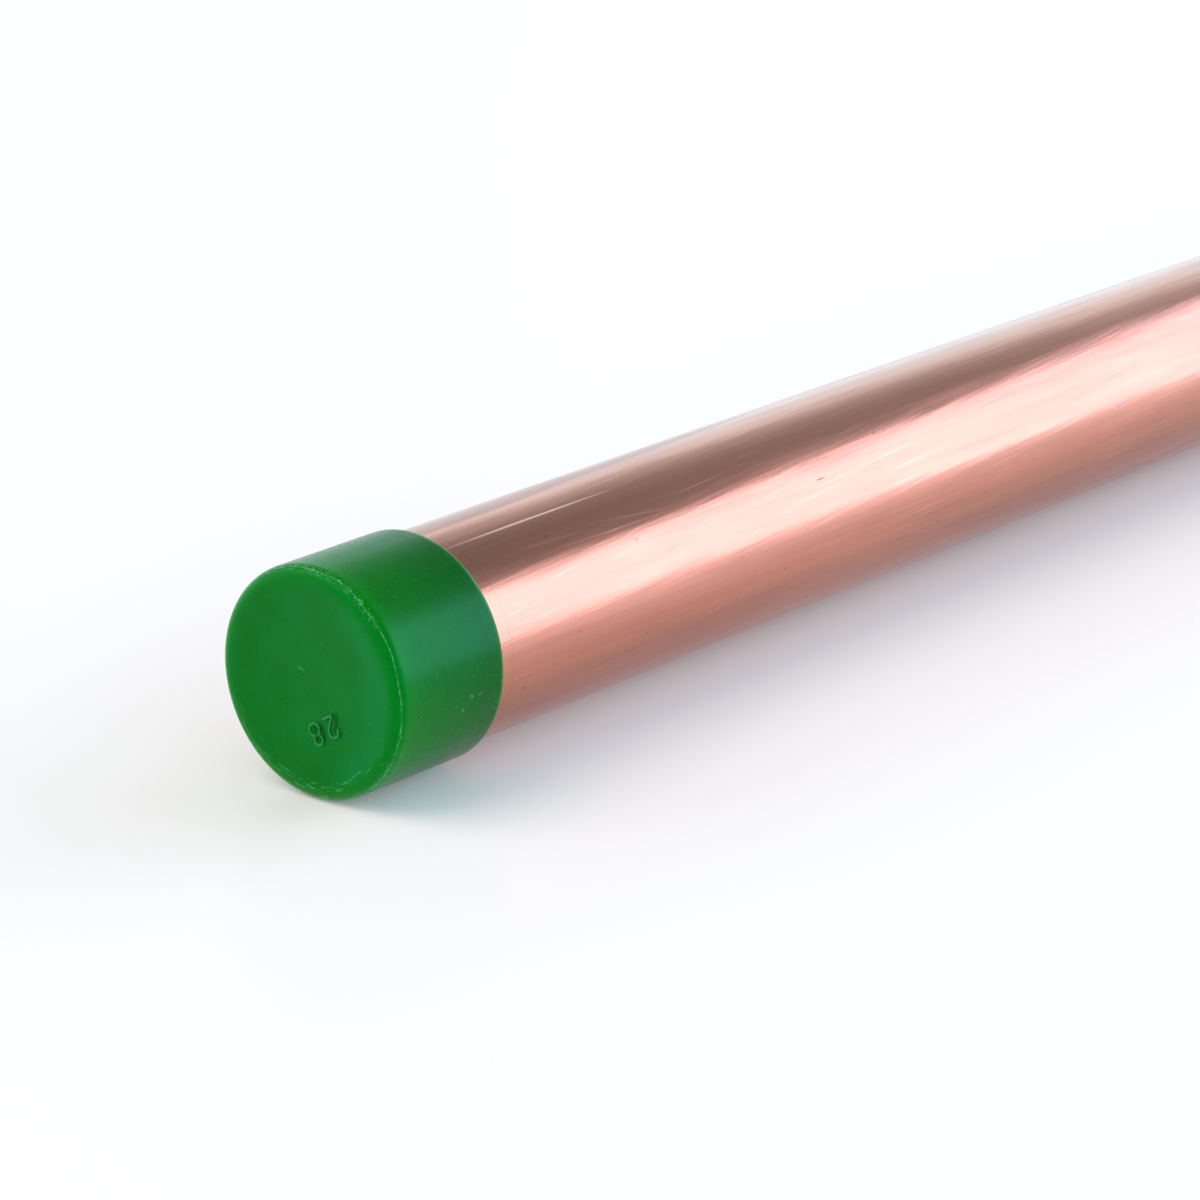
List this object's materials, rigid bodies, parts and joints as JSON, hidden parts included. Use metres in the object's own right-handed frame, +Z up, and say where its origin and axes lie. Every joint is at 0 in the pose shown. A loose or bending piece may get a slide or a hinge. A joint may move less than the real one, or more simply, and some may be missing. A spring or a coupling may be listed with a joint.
{
  "type": "capped straight copper tube",
  "caption": "Straight length of round copper tube lying on its side, with a green moulded plastic cap pushed over each end to keep the bore clean.",
  "frame": {"origin": "on the floor under the middle of the tube, which lies on the mouths of its two caps", "axes": "+X along the tube from the near cap to the far cap, +Z up"},
  "size_m": [1.0032, 0.0298, 0.0299],
  "materials": {
    "drawn_copper": "satin",
    "cap_polyethylene": "satin"
  },
  "bodies": {
    "root": {"tube": "drawn_copper", "near_end_cap": "cap_polyethylene", "far_end_cap": "cap_polyethylene"}
  },
  "joints": []
}
